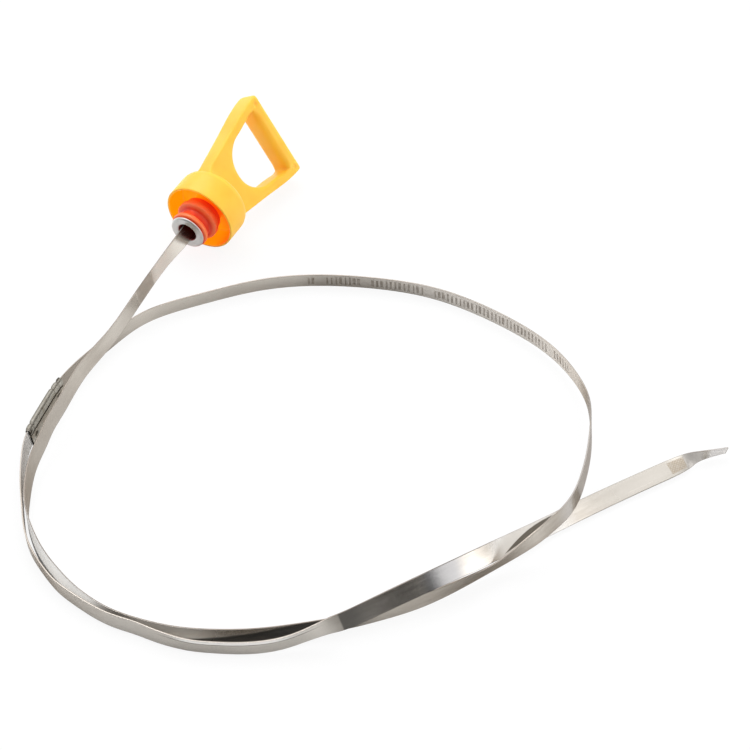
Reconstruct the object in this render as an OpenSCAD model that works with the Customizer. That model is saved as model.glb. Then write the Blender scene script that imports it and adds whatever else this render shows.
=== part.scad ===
// Oil dipstick: moulded grip with cap, ribbed silicone seal, flanged steel ferrule,
// and a long flat spring-steel blade in two lengths joined by a folded splice.
// Millimetres, +Z up. The grip's axis lies along +Y, raised a little towards the grip.

/* [Blade] */
// Width of the strip
blade_w = 6.35; // [5:0.05:8]
// Thickness of the strip
blade_t = 0.5; // [0.3:0.05:0.8]

/* [Grip] */
// Outer radius of the cap's skirt
cap_r = 14.5; // [13.8:0.1:18]
// Thickness of the skirt's wall
cap_wall = 1; // [0.8:0.1:1.6]
// Depth of the hollow under the cap
cap_depth = 9; // [7:0.5:14]
// Distance from the cap's mouth to the middle of the crossbar
grip_reach = 52.5; // [44:0.5:66]
// Length of the crossbar over its round ends
bar_len = 38; // [30:0.5:50]
// Size of the crossbar through the grip
bar_t = 9.8; // [7.5:0.1:11]
// Size of the crossbar along the axis
bar_d = 6.8; // [5:0.1:9]
// Thickness of the grip's flat arms at the crossbar
arm_t = 9.4; // [7:0.1:10.5]
// Thickness of the arms at the cap
root_t = 6.8; // [5:0.1:9]
// Width of each arm beside the finger hole
arm_w = 3.6; // [2.8:0.1:5]

/* [Seal and ferrule] */
// Radius of the seal's large rib
rib_r = 8.6; // [8.2:0.1:10]
// Radius of the seal's small rib
lip_r = 7.6; // [7.2:0.1:8.4]
// Radius of the ferrule's flange
flange_r = 7.1; // [6:0.1:7.4]
// Thickness of the ferrule's flange
flange_t = 1.2; // [0.9:0.1:1.6]
// Radius of the bore that the blade leaves by
bore_r = 3.7; // [3.4:0.05:4.2]

/* [Splice] */
// Outer thickness of the folded sleeve
sleeve_t = 1.9; // [1.6:0.1:2.6]
// How far the sleeve stands beyond the blade's edges
sleeve_lap = 0.6; // [0.4:0.05:1]

/* [Tip] */
// Width of the blade at the very end of the twisted tip
tip_w = 4.4; // [3.4:0.1:6]

/* [Hidden] */
$fn = 48;
part_shift = [-8.5, 25, 0.2];
mouth = [-94.5, 32.5, 14.4];
pitch = 6.5;
roll = 61;
stem_r = 6.2;
tube_r = 4.6;
tube_end = 4;
waist_r = 6.3;
sleeve_r = 7.6;
seal_front = 7.8;
rib_from = 1.7;
bore_front = seal_front + flange_t;
slot_end = 10;
slot_gap = 0.06;
rings_per_span = 6;
bar_z = grip_reach;
hole_floor = cap_depth + 17.6;

// Route of the strip, from the grip to the tip. Each row is x, y, the height of the
// strip's middle and how far its width leans from upright, in degrees. The smooth
// curve (a uniform cubic B-spline) passes close to these points.
route_grip = [
    [-94.5, 42.5, 15.6, -29], [-94.5, 32.5, 14.4, -29], [-94.5, 23, 13.4, -29],
    [-93.5, 15, 13.4, -16], [-93, 6, 13.4, -3]];
route_upper = [
    [-89, -21, 13, -9], [-85.5, -39.5, 12.8, -7], [-87, -57, 11.2, -15], [-84, -72, 8.6, -13],
    [-83, -81.5, 7.4, -12], [-81, -87.5, 6.4, -13], [-79, -96.5, 5.4, -13],
    [-75.5, -104, 4.4, -11], [-71, -111.5, 3.6, -9], [-66, -118, 3.2, 4], [-53.5, -128, 3.2, 12],
    [-42.5, -133, 3.2, 15], [-35, -135.5, 3.2, 7], [-25.5, -137.5, 3.2, 4], [-15.5, -138, 3.2, 2],
    [-0.5, -135.5, 3.2, 6], [9, -132, 3.2, 4], [22.5, -125, 3.2, 4], [32, -118, 3.2, 2],
    [46, -106.5, 3.2, 2], [54, -98, 3.2, 2], [63, -88, 3.2, 2], [71, -75.5, 3.2, -9],
    [79, -62.5, 4, -26], [86, -52, 9.8, 11], [88, -43.5, 8.8, 7], [91, -31.5, 9, 13],
    [87.5, -14, 8, 10], [84, -2, 7.2, 12], [78.5, 12, 6.4, 1], [72.5, 22, 5.6, 7],
    [58.5, 34.5, 4.6, 6], [41, 43, 3.8, 5], [12, 48.5, 3.2, 3], [-10, 47, 3.2, 12],
    [-41, 35.5, 3.2, 10], [-61, 21.5, 3.2, 10], [-74.5, 4.5, 3.2, 11], [-89.5, -14, 3.4, 6],
    [-92, -32, 3.2, -2], [-94.5, -57.5, 4, -8], [-90.5, -74, 4, -10]];
route_lower = [
    [-87.5, -88.5, 4, -8], [-83, -97, 3.8, -4], [-76, -107.5, 3.4, -1], [-68.5, -116.5, 3.2, 3],
    [-59, -127.5, 3.2, -3], [-44, -135, 3.2, -7], [-38.5, -137, 3.2, -4], [-20, -140, 3.2, -1],
    [-10.5, -138, 3.2, 1], [-2, -138, 3.2, -1], [7.5, -136.5, 3.2, -7], [13, -134.5, 3.2, -8],
    [25, -129, 3.2, -5], [33.5, -123, 3.8, -5], [39, -118, 5.8, -7], [45.5, -112, 8.6, 8],
    [49, -110.5, 10.4, 23], [60, -94, 12.2, 31], [69, -80.5, 13, 38], [77.5, -59, 7.8, 41],
    [83.5, -42, 2.2, 52], [91, -29, 2.6, 63], [101.5, -11, 2.2, 69], [109, 1, 2.2, 75],
    [114.5, 9.5, 2.4, 64], [117, 13.5, 2.8, -5], [125, 20.5, 3.2, -20]];
route = concat(route_grip, route_upper, route_lower);
spans = len(route) - 1;
// Stations on the route, counted in points: where the blades meet and what the splice covers
joint_at = len(route_grip) + len(route_upper) - 0.9;
splice_from = joint_at - 0.85;
splice_to = joint_at + 0.9;
taper_from = spans - 3;

// Heights on the route were set for a strip 6.35 wide and follow its width from the
// fourth point on, so that any strip rests on the table and clears the strands it passes.
function lift(i) = let (p = route[i], share = min(1, max(0, (i - 2) / 4)))
    [p[0], p[1], p[2] * (1 + share * (blade_w / 6.35 - 1)), p[3]];
function at(i) = i < 0 ? 2 * lift(0) - lift(1) : i > spans ? 2 * lift(spans) - lift(spans - 1) : lift(i);
function weigh(a, b, c, d, t) =
    ((1 - t) ^ 3 * a + (3 * t ^ 3 - 6 * t ^ 2 + 4) * b + (-3 * t ^ 3 + 3 * t ^ 2 + 3 * t + 1) * c + t ^ 3 * d) / 6;
function spot(u) = let (i = min(floor(u), spans - 1)) weigh(at(i - 1), at(i), at(i + 1), at(i + 2), u - i);
function xyz(p) = [p[0], p[1], p[2]] + part_shift;
function unit(v) = v / norm(v);
// Width and thickness directions of the strip at station u
function along(u) = unit(xyz(spot(min(u + 0.02, spans))) - xyz(spot(max(u - 0.02, 0))));
function side(u) = unit(cross([0, 0, 1], along(u)));
function wide(u) = let (n = side(u), a = spot(u)[3]) cos(a) * cross(along(u), n) + sin(a) * n;
function thick(u) = cross(wide(u), along(u));
function strip_w(u) = u < taper_from ? blade_w
    : blade_w + (tip_w - blade_w) * (1 - cos(180 * min(1, (u - taper_from) / 2.2))) / 2;
// A flat section's points, given as [across the width, through the thickness], set at station u
function placed(u, section) = let (p = xyz(spot(u)), a = wide(u), b = thick(u))
    [for (k = section) p + k[0] * a + k[1] * b];
function plate(w, t) = [[-w, -t] / 2, [w, -t] / 2, [w, t] / 2, [-w, t] / 2];
// Section of the folded sleeve: a flat tube w by t round a w_in by t_in blade, open at a seam
function folded(w, t, w_in, t_in, from, to) = [[to, t / 2], [w, t] / 2, [w, -t] / 2, [-w, -t] / 2,
    [-w, t] / 2, [from, t / 2], [from, t_in / 2], [-w_in, t_in] / 2, [-w_in, -t_in] / 2,
    [w_in, -t_in] / 2, [w_in, t_in] / 2, [to, t_in / 2]];

// Skins a list of rings; each cap row names four points of the end rings
module skin(rings, caps) {
    m = len(rings[0]);
    n = len(rings) - 1;
    walls = [for (i = [0:n - 1], k = [0:m - 1]) let (a = m * i + k, b = m * i + (k + 1) % m)
        each [[b + m, b, a], [a + m, b + m, a]]];
    ends = [for (c = caps) each [[c[0], c[1], c[2]], [c[0], c[2], c[3]],
        [m * n + c[2], m * n + c[1], m * n + c[0]], [m * n + c[3], m * n + c[2], m * n + c[0]]]];
    polyhedron([for (r = rings, p = r) p], concat(walls, ends), convexity = 10);
}

function stations(u0, u1) = let (n = max(2, ceil((u1 - u0) * rings_per_span)))
    [for (i = [0:n]) u0 + (u1 - u0) * i / n];
module strip(u0, u1) skin([for (u = stations(u0, u1)) placed(u, plate(strip_w(u), blade_t))],
    [[0, 1, 2, 3]]);

// Lays a solid drawn on the grip's own axis (local +Z towards the crossbar) in its place
module on_grip() translate(mouth + part_shift) rotate([pitch - 90, 0, 0]) rotate([0, 0, roll]) children();

module skirt() rotate_extrude()
    polygon([[cap_r - cap_wall, 0], [cap_r - 0.3, 0], [cap_r, 0.3], [cap_r, cap_depth + 1],
        [cap_r - 0.6, cap_depth + 2.6], [cap_r - 2.4, cap_depth + 4], [cap_r - 5.4, cap_depth + 5.4],
        [0, cap_depth + 6], [0, cap_depth], [cap_r - cap_wall, cap_depth]]);

// Quarter turn of radius r round the centre c, from angle a
function corner(c, r, a) = [for (k = [0:5]) c + r * [cos(a + 18 * k), sin(a + 18 * k)]];
function mirrored(list) = [for (i = [len(list) - 1:-1:0]) [-list[i][0], list[i][1]]];

// Flat outline of the two arms and the web between them, right half then left half
module grip_outline() {
    top = bar_z + bar_d / 2 - 0.5;
    half = bar_len / 2 - 0.6;
    right = concat([[10.6, cap_depth + 2], [12.2, cap_depth + 7], [half, top - 6.5]],
        corner([half - 1.5, top - 1.5], 1.5, 0));
    polygon(concat(right, mirrored(right)));
}

// D-shaped hole: a round floor that widens to the straight side of the crossbar
module finger_hole() {
    top = bar_z - bar_d / 2 + 1;
    half = bar_len / 2 - 0.6 - arm_w;
    wide_at = half - 2.6;
    floor_h = 11;
    right = concat([for (k = [0:9]) [wide_at * sin(9 * k), hole_floor + floor_h * (1 - cos(9 * k))]],
        [[wide_at, hole_floor + floor_h]], corner([half - 2.6, top - 2.6], 2.6, 0));
    polygon(concat(right, mirrored(right)));
}

// Crossbar: an oval section from one arm to the other
module crossbar() translate([0, 0, bar_z]) rotate([0, 90, 0])
    linear_extrude(bar_len - 6.4, center = true)
        polygon([for (k = [0:23]) [bar_d / 2 * cos(15 * k), bar_t / 2 * sin(15 * k)]]);

// The arms thicken evenly from the cap to the crossbar
module arms() intersection() {
    rotate([90, 0, 0]) linear_extrude(arm_t + 2, center = true) difference() {
        grip_outline();
        finger_hole();
    }
    rotate([90, 0, 90]) linear_extrude(bar_len + 2, center = true)
        polygon([[-root_t, 2 * cap_depth] / 2, [root_t, 2 * cap_depth] / 2,
            [arm_t / 2, bar_z + bar_d], [-arm_t / 2, bar_z + bar_d]]);
}

// Shallow round dimple in an arm's flat face, one at each end of the crossbar
module dimples() for (x = [-1, 1], y = [-1, 1])
    translate([x * (bar_len / 2 - 3.4), y * (arm_t / 2 - 0.2), bar_z - 0.4])
        rotate([90, 0, 0]) cylinder(r = 1.1, h = 0.6, center = true, $fn = 16);

module handle() color([1, 0.8, 0.29]) on_grip() difference() {
    union() {
        skirt();
        cylinder(r = stem_r, h = cap_depth + 1);
        arms();
        crossbar();
    }
    translate([0, 0, -1]) cylinder(r = tube_r, h = tube_end + 1);
    dimples();
    cube([blade_w + 2 * slot_gap, blade_t + 2 * slot_gap, 2 * slot_end + 1], center = true);
}

module seal() color([0.93, 0.29, 0.12]) on_grip() rotate_extrude()
    polygon([[tube_r, -seal_front], [lip_r - 0.9, -seal_front], [lip_r, 0.5 - seal_front],
        [lip_r, 1.9 - seal_front], [lip_r - 0.6, 2.4 - seal_front], [waist_r, 2.8 - seal_front],
        [waist_r, -rib_from - 0.9], [rib_r - 0.7, -rib_from - 0.4], [rib_r, -rib_from],
        [rib_r, 0.3], [rib_r - 0.6, 0.8], [sleeve_r, 1.2], [sleeve_r, 3.4], [stem_r, 3.8],
        [stem_r, 0], [tube_r, 0]]);

module ferrule() color([0.72, 0.74, 0.74]) on_grip() rotate_extrude()
    polygon([[bore_r, 0.5 - bore_front], [bore_r + 0.6, -bore_front], [flange_r - 0.5, -bore_front],
        [flange_r, 0.4 - bore_front], [flange_r, -0.4 - seal_front], [flange_r - 0.4, -seal_front],
        [tube_r, -seal_front], [tube_r, tube_end], [bore_r, tube_end]]);

module upper_blade() color([0.72, 0.69, 0.65]) strip(0.4, joint_at - 0.004);

module lower_blade() color([0.76, 0.74, 0.70]) strip(joint_at + 0.004, spans);

module splice() color([0.60, 0.58, 0.55])
    skin([for (u = stations(splice_from, splice_to)) placed(u, folded(blade_w + 2 * sleeve_lap,
        sleeve_t, blade_w + slot_gap, blade_t + slot_gap, 0.4, 1.1))],
        [[0, 1, 10, 11], [1, 2, 9, 10], [2, 3, 8, 9], [3, 4, 7, 8], [4, 5, 6, 7]]);

handle();
seal();
ferrule();
upper_blade();
lower_blade();
splice();
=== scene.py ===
# %% [markdown]
# # A coiled oil dipstick
# The object lies on a pale table: a yellow moulded grip with a cap, an orange-red
# silicone seal, a flanged steel ferrule, and about a metre of flat spring steel that
# makes one and a half turns and ends in a narrow twisted tip. The imported CAD model is
# loaded first and stays fixed. Every piece of the dipstick below is a surface worked out
# with numpy in that same frame, in metres, and stands for one CAD node, which it hides.

# %% Load the frame
import math

import bpy
import numpy as np
from mathutils import Matrix


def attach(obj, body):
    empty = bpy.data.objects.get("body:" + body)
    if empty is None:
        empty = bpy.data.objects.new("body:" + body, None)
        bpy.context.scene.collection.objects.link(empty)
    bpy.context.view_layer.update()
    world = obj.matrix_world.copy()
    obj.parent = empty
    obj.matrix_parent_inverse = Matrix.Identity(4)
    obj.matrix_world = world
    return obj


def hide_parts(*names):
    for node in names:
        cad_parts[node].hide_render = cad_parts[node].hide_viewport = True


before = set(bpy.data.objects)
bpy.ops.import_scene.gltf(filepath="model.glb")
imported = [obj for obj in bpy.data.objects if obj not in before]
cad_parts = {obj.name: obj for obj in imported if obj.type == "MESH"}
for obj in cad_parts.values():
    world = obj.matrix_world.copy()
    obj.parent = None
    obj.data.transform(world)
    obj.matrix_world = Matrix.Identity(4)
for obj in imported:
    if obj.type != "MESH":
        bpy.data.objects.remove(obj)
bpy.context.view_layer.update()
MM = 0.001
print("CAD nodes:", sorted(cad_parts))

# %% [markdown]
# ## The grip's axis
# The cap, the seal and the ferrule are round about one line, and the finger loop is set
# out along it. The grip lies on its side, so that line rises a few degrees from the cap
# to the crossbar, and the crossbar is rolled about it. A point and three directions,
# worked out from the two angles, place everything on the grip. Its finishes read them
# too, with the cap's radius, wall and depth in millimetres.

# %% The grip's axis
MOUTH = np.array([-103.0, 57.5, 14.6])
PITCH, ROLL = math.radians(6.5), math.radians(61.0)
AXIS = np.array([0.0, math.cos(PITCH), math.sin(PITCH)])
BAR_DIR = np.array([math.cos(ROLL), math.sin(ROLL) * math.sin(PITCH), -math.sin(ROLL) * math.cos(PITCH)])
FACE_DIR = np.cross(AXIS, BAR_DIR)
CAP_R, CAP_WALL, CAP_DEPTH = 14.5, 1.0, 9.0
print("axis:", AXIS.round(3), "crossbar:", BAR_DIR.round(3))

# %% [markdown]
# ## Grids become meshes
# A swept strip, a turned ring and a moulded loop are all the same thing to numpy: a
# table of points with rows and columns. One helper joins neighbouring points into
# quads, wraps the table round where the shape closes, fans shut any open end, and
# lays the two parameters out as a UV map, so that a finish can follow the surface.


# %% Grid helper
def grid_faces(rows, cols, wrap_rows, wrap_cols):
    """Corner indices of every quad: (i, j), (i+1, j), (i+1, j+1), (i, j+1), modulo the table."""
    i, j = np.meshgrid(np.arange(rows - (not wrap_rows)), np.arange(cols - (not wrap_cols)),
                       indexing="ij")
    a, b = (i + 1) % rows, (j + 1) % cols
    quads = np.stack([i * cols + j, a * cols + j, a * cols + b, i * cols + b], -1)
    steps = np.stack([np.stack([i, j], -1), np.stack([i + 1, j], -1),
                      np.stack([i + 1, j + 1], -1), np.stack([i, j + 1], -1)], -2)
    return quads.reshape(-1, 4), steps.reshape(-1, 4, 2)


def grid_part(points, along, across, wrap_rows=False, wrap_cols=True, cap=True, flip=False):
    """One patch: its points, quads, cap triangles, and a UV pair for every corner."""
    rows, cols = points.shape[:2]
    quads, steps = grid_faces(rows, cols, wrap_rows, wrap_cols)
    uv = np.stack([along[steps[..., 0]], across[steps[..., 1]]], -1)
    verts, tris, tri_uv = points.reshape(-1, 3), np.zeros((0, 3), int), np.zeros((0, 3, 2))
    if cap and wrap_cols and not wrap_rows:
        ring = np.arange(cols)
        nxt = (ring + 1) % cols
        ends = np.array([points[0].mean(0), points[-1].mean(0)])
        first, last = len(verts), len(verts) + 1
        tris = np.concatenate([np.stack([ring, nxt, np.full(cols, first)], 1),
                               np.stack([nxt + (rows - 1) * cols, ring + (rows - 1) * cols,
                                         np.full(cols, last)], 1)])
        verts = np.concatenate([verts, ends])
        tri_uv = np.full((2 * cols, 3, 2), -1.0)
    if flip:
        quads, uv, tris = quads[:, ::-1], uv[:, ::-1], tris[:, ::-1]
    return verts, quads, uv, tris, tri_uv


def build(name, parts, material, sharp_deg=40.0):
    """Joins patches into one mesh object at the origin and shades it smooth by angle."""
    verts, loops, sizes, uvs, base = [], [], [], [], 0
    for v, quads, uv, tris, tri_uv in parts:
        loops += [(quads + base).ravel(), (tris + base).ravel()]
        sizes += [np.full(len(quads), 4), np.full(len(tris), 3)]
        uvs += [uv.reshape(-1, 2), tri_uv.reshape(-1, 2)]
        verts.append(v)
        base += len(v)
    v, loops, sizes, uvs = map(np.concatenate, (verts, loops, sizes, uvs))
    mesh = bpy.data.meshes.new(name)
    mesh.vertices.add(len(v))
    mesh.vertices.foreach_set("co", v.astype(np.float32).ravel())
    mesh.loops.add(len(loops))
    mesh.loops.foreach_set("vertex_index", loops.astype(np.int32))
    mesh.polygons.add(len(sizes))
    starts = np.concatenate([[0], np.cumsum(sizes)[:-1]])
    mesh.polygons.foreach_set("loop_start", starts.astype(np.int32))
    mesh.update(calc_edges=True)
    layer = mesh.uv_layers.new(name="surface")
    layer.data.foreach_set("uv", uvs.astype(np.float32).ravel())
    mesh.validate()
    mesh.shade_smooth()
    mesh.set_sharp_from_angle(angle=math.radians(sharp_deg))
    mesh.materials.append(material)
    obj = bpy.data.objects.new(name, mesh)
    bpy.context.scene.collection.objects.link(obj)
    print(f"{name}: {len(v)} points, {len(sizes)} faces")
    return obj


def place(obj, node):
    """The piece stands for a CAD node, which it hides, and moves with the one body."""
    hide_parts(node)
    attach(obj, "root")


# %% [markdown]
# ## Finishes
# Each finish is a small node graph. Colour varies a little everywhere, because moulded
# plastic, rubber and rolled steel all do, and roughness and a fine bump come from the
# same noise, so that a mark that is duller is also rougher. A few helpers keep the
# graphs short: one adds a node and sets its sockets, one blends two colours.


# %% Node helpers
class Finish:
    """A material or world under construction: add() makes a node, link() joins sockets."""

    def __init__(self, name, world=False):
        self.mat = (bpy.data.worlds if world else bpy.data.materials).new(name)
        self.mat.use_nodes = True
        self.tree = self.mat.node_tree
        self.shader = self.tree.nodes["Background" if world else "Principled BSDF"]

    def add(self, kind, inputs=(), **props):
        """A new node with its settings; an input is a plain value or another node's socket."""
        node = self.tree.nodes.new(kind)
        for key, value in props.items():
            setattr(node, key, value)
        for key, value in dict(inputs).items():
            if hasattr(value, "links"):
                self.tree.links.new(value, node.inputs[key])
            else:
                node.inputs[key].default_value = value
        return node

    def link(self, source, socket):
        """Feeds one of the shader's own sockets."""
        self.tree.links.new(source, self.shader.inputs[socket])

    def coords(self, scale=(1, 1, 1), uv=False):
        """The place on the piece, in metres, or its UV, times a scale for each axis."""
        where = self.add("ShaderNodeTexCoord").outputs["UV" if uv else "Object"]
        return self.add("ShaderNodeMapping", {"Vector": where, "Scale": scale}).outputs[0]

    def noise(self, scale, detail=4.0, rough=0.55, vector=None):
        """Smooth clouds between 0 and 1, scale of them to the metre."""
        vector = vector or self.coords()
        return self.add("ShaderNodeTexNoise", {"Vector": vector, "Scale": scale, "Detail": detail,
                                               "Roughness": rough}).outputs["Fac"]

    def fit(self, value, low, high, to_low=0.0, to_high=1.0, smooth=True):
        """Carries low..high to to_low..to_high and holds the ends; smooth eases in and out."""
        node = self.add("ShaderNodeMapRange", {"Value": value, "From Min": low, "From Max": high,
                                               "To Min": to_low, "To Max": to_high})
        node.interpolation_type = "SMOOTHSTEP" if smooth else "LINEAR"
        return node.outputs[0]

    def mix(self, amount, a, b):
        """Colour a where amount is 0, b where it is 1."""
        node = self.add("ShaderNodeMix", data_type="RGBA")
        for key, value in (("Factor", amount), ("A", a), ("B", b)):
            socket = [s for s in node.inputs if s.name == key and s.enabled][0]
            if hasattr(value, "links"):
                self.tree.links.new(value, socket)
            else:
                socket.default_value = value
        return [s for s in node.outputs if s.enabled][0]

    def math(self, op, a, b=0.0, clamp=False):
        """One sum on two numbers or sockets."""
        node = self.add("ShaderNodeMath", operation=op, use_clamp=clamp)
        for socket, value in zip(node.inputs, (a, b)):
            if hasattr(value, "links"):
                self.tree.links.new(value, socket)
            else:
                socket.default_value = value
        return node.outputs[0]

    def vector(self, op, a, b=(0, 0, 0), out="Vector"):
        """One sum on two vectors; a dot product or a length comes out at Value."""
        return self.add("ShaderNodeVectorMath", {0: a, 1: b}, operation=op).outputs[out]

    def bump(self, height, strength, distance, normal=None):
        """Tilts the normal as a relief of that height would, on top of another bump or alone."""
        inputs = {"Height": height, "Strength": strength, "Distance": distance}
        if normal is not None:
            inputs["Normal"] = normal
        return self.add("ShaderNodeBump", inputs).outputs[0]

    def set(self, **values):
        """Plain values for the shader's own sockets; returns the finished material."""
        for key, value in values.items():
            self.shader.inputs[key.replace("_", " ")].default_value = value
        return self.mat


# %% [markdown]
# ## Moulded plastic
# The grip is a warm yellow polypropylene with a satin skin. Light sinks a little way
# in, which is why its shaded sides glow orange, so it has a touch of subsurface
# scattering as well as a faint mottled skin and tiny handling scuffs.


# %% Grip plastic
def from_axis(f):
    """Distance along the grip's axis from the cap's mouth, and away from the axis, in metres,
    with the offset itself: the point less its own projection on the axis."""
    here = f.vector("SUBTRACT", f.coords(), tuple(MOUTH * MM))
    along = f.vector("DOT_PRODUCT", here, tuple(AXIS), "Value")
    foot = f.add("ShaderNodeVectorMath", {0: tuple(AXIS), "Scale": along}, operation="SCALE").outputs[0]
    off = f.vector("SUBTRACT", here, foot)
    return along, f.vector("LENGTH", off, out="Value"), off


# Side of the cap's inside where the painted red reflection of the seal is strongest.
RED_SIDE = (0.93, 0.0, 0.37)


def grip_plastic():
    """Yellow skin. Inside the thin-walled cap, told by the distances along and from the axis,
    light that soaks through the wall is painted in as a deeper, warmer orange colour and a
    weak painted glow of the same hue. It turns red towards RED_SIDE: a painted reflection of the seal."""
    f = Finish("grip_plastic")
    along, away, off = from_axis(f)
    skirt = CAP_R - CAP_WALL
    inside = f.math("MULTIPLY", f.fit(away, (skirt + 0.4) * MM, (skirt + 0.1) * MM),
                    f.fit(along, (CAP_DEPTH + 0.6) * MM, (CAP_DEPTH + 0.1) * MM))
    red = f.fit(f.vector("DOT_PRODUCT", off, RED_SIDE, "Value"), -4.0 * MM, 12.0 * MM)
    cloud = f.noise(90.0, 3.0)
    colour = f.mix(f.fit(cloud, 0.35, 0.65), (1.0, 0.555, 0.036, 1), (0.99, 0.515, 0.028, 1))
    scuff = f.fit(f.noise(700.0, 5.0, 0.7), 0.62, 0.78)
    colour = f.mix(f.math("MULTIPLY", scuff, 0.25), colour, (0.93, 0.60, 0.16, 1))
    # Painted light inside the cap: a deeper orange colour and a glow, turning to a painted red
    # reflection of the seal.
    painted_inner_glow = f.mix(red, (1.0, 0.40, 0.002, 1), (0.82, 0.090, 0.004, 1))
    colour = f.mix(inside, colour, painted_inner_glow)
    f.link(colour, "Base Color")
    f.link(painted_inner_glow, "Emission Color")
    f.link(f.math("MULTIPLY", inside, f.fit(red, 0.0, 1.0, 0.42, 0.30)), "Emission Strength")
    f.link(f.fit(cloud, 0.3, 0.7, 0.36, 0.46), "Roughness")
    skin = f.bump(f.noise(2600.0, 2.0), 0.10, 0.00005)
    f.link(f.bump(f.noise(160.0, 2.0), 0.10, 0.0002, skin), "Normal")
    return f.set(Subsurface_Weight=0.25, Subsurface_Radius=(1.0, 0.42, 0.08), Subsurface_Scale=0.004,
                 IOR=1.48)


# %% [markdown]
# ## Silicone
# Cured silicone is more saturated and glows more than the grip. Its skin is smooth with
# a slight bloom of dust in places, drawn as pale specks, and shines unevenly.


# %% Seal silicone
def seal_silicone():
    """Clouds of two reds. The ribs' crests, told by their distance from the axis, carry a painted
    highlight of paler orange, and the front rib's, told by the distance along it, is the palest."""
    f = Finish("seal_silicone")
    cloud = f.noise(140.0, 3.0)
    along, away, _ = from_axis(f)
    crest = f.fit(away, 6.6 * MM, 8.2 * MM)
    front = f.fit(along, -4.0 * MM, -6.0 * MM)
    colour = f.mix(f.fit(cloud, 0.35, 0.65), (0.86, 0.070, 0.016, 1), (0.72, 0.042, 0.012, 1))
    # Painted highlight along the ribs' crests, strongest on the front rib.
    crest_highlight = f.math("MULTIPLY", crest, f.fit(front, 0.0, 1.0, 0.55, 0.95))
    colour = f.mix(crest_highlight, colour, (1.0, 0.27, 0.075, 1))
    dust = f.fit(f.noise(1500.0, 4.0, 0.7), 0.66, 0.80)
    colour = f.mix(f.math("MULTIPLY", dust, 0.22), colour, (0.95, 0.42, 0.26, 1))
    f.link(colour, "Base Color")
    f.link(f.fit(cloud, 0.3, 0.7, 0.30, 0.42), "Roughness")
    f.link(f.bump(f.noise(900.0, 3.0), 0.12, 0.0001), "Normal")
    return f.set(Subsurface_Weight=0.35, Subsurface_Radius=(1.0, 0.22, 0.06), Subsurface_Scale=0.003,
                 IOR=1.43)


# %% [markdown]
# ## Turned steel
# The ferrule's flange was formed on a lathe-like tool, so its faint lines run round the
# bore. The revolved surface's own UV has its turn in one direction and its profile in
# the other, so noise that is stretched along the turn gives those rings.


# %% Ferrule steel
def ferrule_steel():
    """Rings of noise in the roughness and bump, clouds of stain in the colour. Inside the bore,
    told by the distance from the axis, the steel is duller and painted dark red: painted shade and a
    painted reflection of the seal."""
    f = Finish("ferrule_steel")
    rings = f.noise(1.0, 3.0, 0.6, f.coords((6.0, 5200.0, 1.0), uv=True))
    stain = f.fit(f.noise(260.0, 4.0), 0.52, 0.72)
    colour = f.mix(f.math("MULTIPLY", stain, 0.45), (0.66, 0.66, 0.64, 1), (0.42, 0.41, 0.38, 1))
    away = from_axis(f)[1]
    # Painted shade and a painted red reflection of the seal inside the bore.
    bore = f.fit(away, 4.2 * MM, 3.75 * MM)
    f.link(f.mix(bore, colour, (0.30, 0.055, 0.045, 1)), "Base Color")
    f.link(f.math("ADD", f.fit(rings, 0.3, 0.7, 0.26, 0.40), f.math("MULTIPLY", bore, 0.2)), "Roughness")
    f.link(f.bump(rings, 0.25, 0.00004), "Normal")
    return f.set(Metallic=1.0)


# %% [markdown]
# ## Rolled spring steel
# Rolled strip shows fine drawn lines along its length. The blade's UV holds the distance
# along the strip and across it, both in metres, so the lines are noise stretched two
# hundred to one. Slow patches of stain change its tone, and on one face a length of
# small etched ticks stands where a real gauge carries its scale, with a patch of
# crossed hatching near the tip.


# %% Blade steel
def strokes(f, u, v, start, stop, pitch):
    """1 on upright strokes etched between start and stop along the strip. The length is cut
    into cells one pitch long. A fixed random number for each cell sets how broad its stroke
    is and where its foot stands, and one for each pair of cells sets the head and the gaps."""
    cell = f.math("FLOOR", f.math("DIVIDE", u, pitch))
    phase = f.math("FRACT", f.math("DIVIDE", u, pitch))
    pick = f.add("ShaderNodeTexWhiteNoise", {"W": cell}, noise_dimensions="1D").outputs["Value"]
    group = f.math("FLOOR", f.math("DIVIDE", cell, 2.0))
    rest = f.add("ShaderNodeTexWhiteNoise", {"W": group}, noise_dimensions="1D").outputs["Value"]
    bar = f.math("LESS_THAN", phase, f.fit(pick, 0.0, 1.0, 0.34, 0.66, smooth=False))
    foot = f.fit(pick, 0.0, 1.0, -2.2 * MM, -1.6 * MM, smooth=False)
    head = f.fit(rest, 0.0, 1.0, 1.7 * MM, 2.3 * MM, smooth=False)
    band = f.math("MULTIPLY", f.math("GREATER_THAN", v, foot), f.math("LESS_THAN", v, head))
    inside = f.math("MULTIPLY", f.math("GREATER_THAN", u, start), f.math("LESS_THAN", u, stop))
    shown = f.math("MULTIPLY", f.math("GREATER_THAN", rest, 0.11), inside)
    return f.math("MULTIPLY", bar, f.math("MULTIPLY", shown, band))


def hatch(f, u, v, start, stop, low, high, pitch):
    """A worn rectangle, 0.5, with 1 on two sets of slanted lines: u + v and u - v folded
    at the pitch."""
    one = f.math("LESS_THAN", f.math("FRACT", f.math("DIVIDE", f.math("ADD", u, v), pitch)), 0.3)
    two = f.math("LESS_THAN", f.math("FRACT", f.math("DIVIDE", f.math("SUBTRACT", u, v), pitch)), 0.3)
    lines = f.math("ADD", f.math("MULTIPLY", f.math("MAXIMUM", one, two), 0.5), 0.5)
    inside = f.math("MULTIPLY", f.math("GREATER_THAN", u, start), f.math("LESS_THAN", u, stop))
    band = f.math("MULTIPLY", f.math("GREATER_THAN", v, low), f.math("LESS_THAN", v, high))
    return f.math("MULTIPLY", lines, f.math("MULTIPLY", inside, band))


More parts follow.
